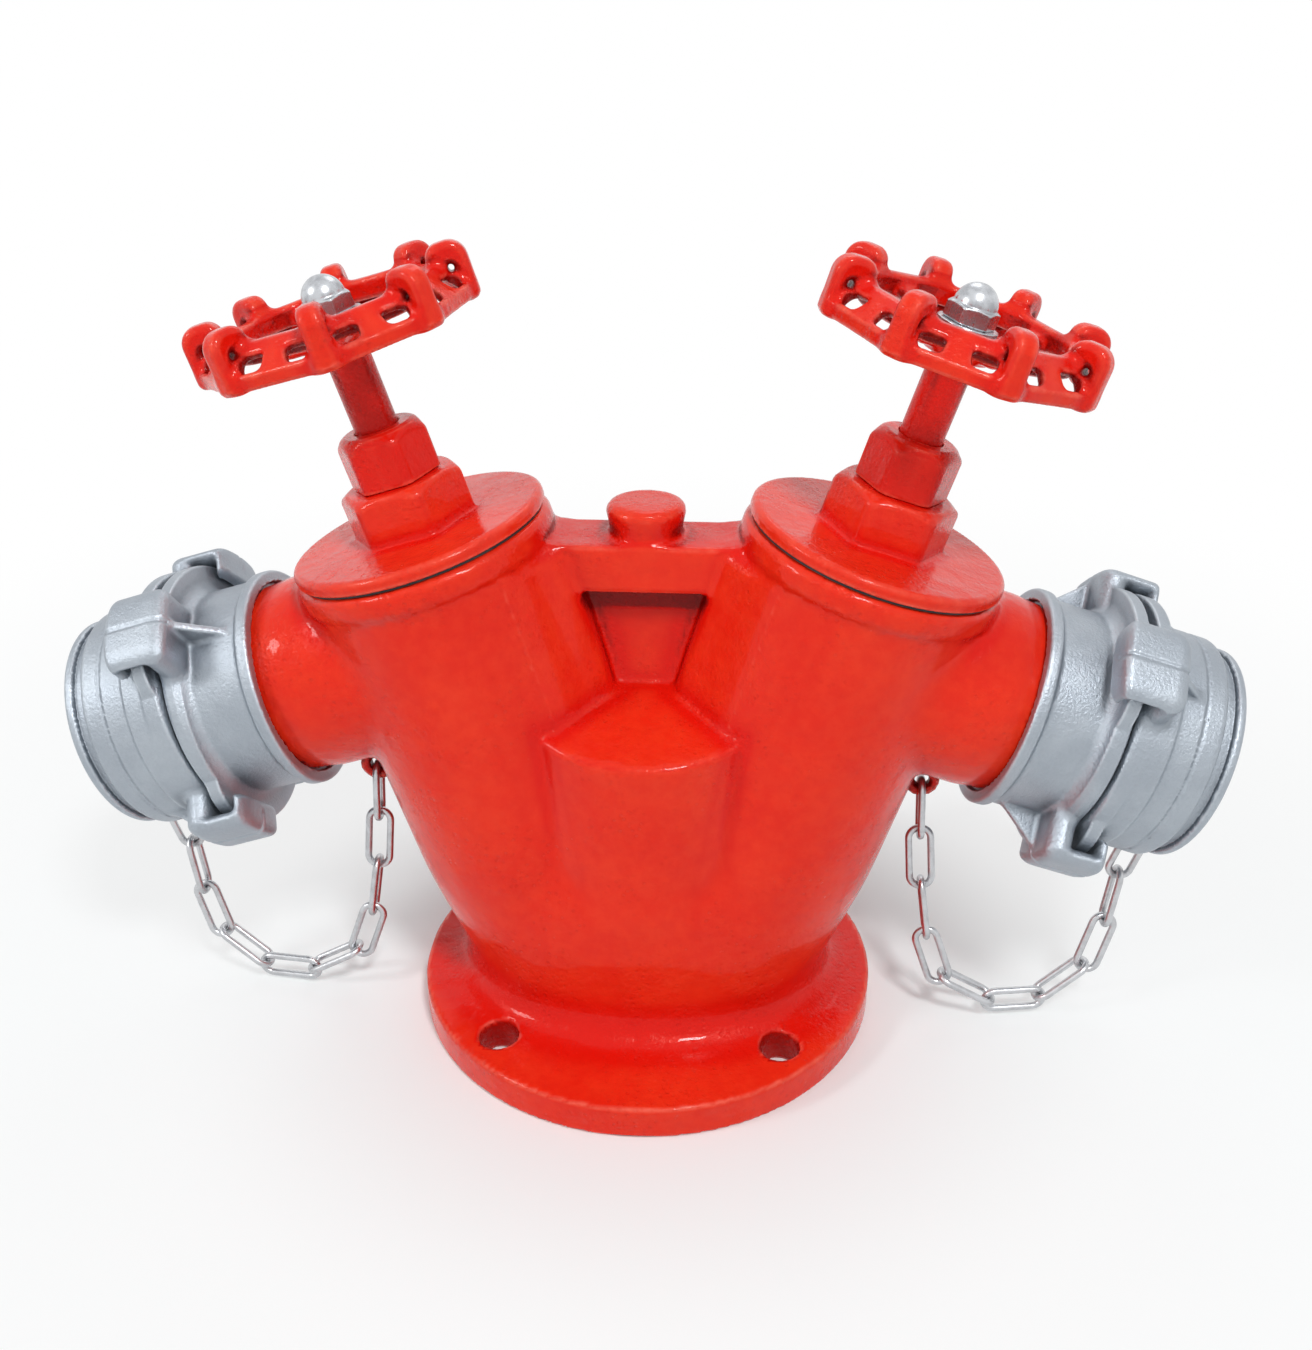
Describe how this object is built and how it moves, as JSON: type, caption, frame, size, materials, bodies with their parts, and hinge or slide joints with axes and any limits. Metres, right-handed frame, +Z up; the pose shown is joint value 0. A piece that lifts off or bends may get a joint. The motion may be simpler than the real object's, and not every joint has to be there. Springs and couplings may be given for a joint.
{
  "type": "fire department connection",
  "caption": "Bolted-flange fire inlet with leaning screw-down angle valves, lobed handwheels, claw hose couplings and chained claw caps.",
  "frame": {"origin": "centre of the bolt flange's bottom face", "axes": "+Z up out of the flange, +X towards the right inlet, -Y towards the viewer"},
  "size_m": [0.508, 0.215, 0.3537],
  "materials": {
    "red_paint": "thick gloss red enamel over iron castings",
    "cast_aluminium": "satin grey cast aluminium",
    "chrome_nut": "polished nickel-chrome plate",
    "zinc_steel": "bright zinc-plated steel wire",
    "bronze": "turned valve bronze",
    "black_rubber": "matt black sealing rubber",
    "graphite_packing": "plaited graphite packing"
  },
  "bodies": {
    "casing": {"body": "red_paint", "seat_ring_left": "bronze", "bonnet_left": "red_paint", "bonnet_gasket_left": "black_rubber", "packing_left": "graphite_packing", "gland_ring_left": "bronze", "gland_nut_left": "red_paint", "coupling_left": "cast_aluminium", "inlet_gasket_left": "black_rubber", "coupling_seal_left": "black_rubber", "chain_left": "zinc_steel", "seat_ring_right": "bronze", "bonnet_right": "red_paint", "bonnet_gasket_right": "black_rubber", "packing_right": "graphite_packing", "gland_ring_right": "bronze", "gland_nut_right": "red_paint", "coupling_right": "cast_aluminium", "inlet_gasket_right": "black_rubber", "coupling_seal_right": "black_rubber", "chain_right": "zinc_steel"},
    "disc_group_left": {"valve_disc_left": "bronze", "disc_seal_left": "black_rubber", "seal_plate_left": "bronze", "seal_nut_left": "bronze", "stem_lock_left": "bronze"},
    "spindle_group_left": {"stem_left": "red_paint", "handwheel_left": "red_paint", "wheel_washer_left": "chrome_nut", "acorn_nut_left": "chrome_nut"},
    "plug_group_left": {"cap_plug_left": "cast_aluminium", "cap_seal_left": "black_rubber", "cap_lock_wire_left": "zinc_steel"},
    "ring_group_left": {"cap_ring_left": "cast_aluminium"},
    "disc_group_right": {"valve_disc_right": "bronze", "disc_seal_right": "black_rubber", "seal_plate_right": "bronze", "seal_nut_right": "bronze", "stem_lock_right": "bronze"},
    "spindle_group_right": {"stem_right": "red_paint", "handwheel_right": "red_paint", "wheel_washer_right": "chrome_nut", "acorn_nut_right": "chrome_nut"},
    "plug_group_right": {"cap_plug_right": "cast_aluminium", "cap_seal_right": "black_rubber", "cap_lock_wire_right": "zinc_steel"},
    "ring_group_right": {"cap_ring_right": "cast_aluminium"}
  },
  "joints": [
    {"name": "valve_left_lift", "type": "slide", "parent": "casing", "child": "disc_group_left", "axis": [-0.2974, 0, 0.9548], "range_m": [0, 0.0201]},
    {"name": "valve_left_turn", "type": "hinge", "parent": "disc_group_left", "child": "spindle_group_left", "pos_m": [-0.024, 0, 0], "axis": [-0.2974, 0, 0.9548], "range_deg": [0, 1440]},
    {"name": "cap_left_slide", "type": "slide", "parent": "casing", "child": "plug_group_left", "axis": [-0.9548, 0, -0.2974], "range_m": [0, 0.00116]},
    {"name": "cap_left_turn", "type": "hinge", "parent": "plug_group_left", "child": "ring_group_left", "pos_m": [-0.08217, 0, 0.18675], "axis": [-0.9548, 0, -0.2974], "range_deg": [0, 50.05]},
    {"name": "valve_right_lift", "type": "slide", "parent": "casing", "child": "disc_group_right", "axis": [0.2974, 0, 0.9548], "range_m": [0, 0.0201]},
    {"name": "valve_right_turn", "type": "hinge", "parent": "disc_group_right", "child": "spindle_group_right", "pos_m": [0.024, 0, 0], "axis": [0.2974, 0, 0.9548], "range_deg": [0, 1440]},
    {"name": "cap_right_slide", "type": "slide", "parent": "casing", "child": "plug_group_right", "axis": [0.9548, 0, -0.2974], "range_m": [0, 0.00116]},
    {"name": "cap_right_turn", "type": "hinge", "parent": "plug_group_right", "child": "ring_group_right", "pos_m": [0.08217, 0, 0.18675], "axis": [0.9548, 0, -0.2974], "range_deg": [0, 50.05]}
  ],
  "couplings": [
    {"joint": "valve_left_lift", "follows": "valve_left_turn", "m_per_rad": 0.00079577},
    {"joint": "cap_left_turn", "follows": "cap_left_slide", "rad_per_m": 752.3},
    {"joint": "valve_right_lift", "follows": "valve_right_turn", "m_per_rad": 0.00079577},
    {"joint": "cap_right_turn", "follows": "cap_right_slide", "rad_per_m": 752.3}
  ]
}
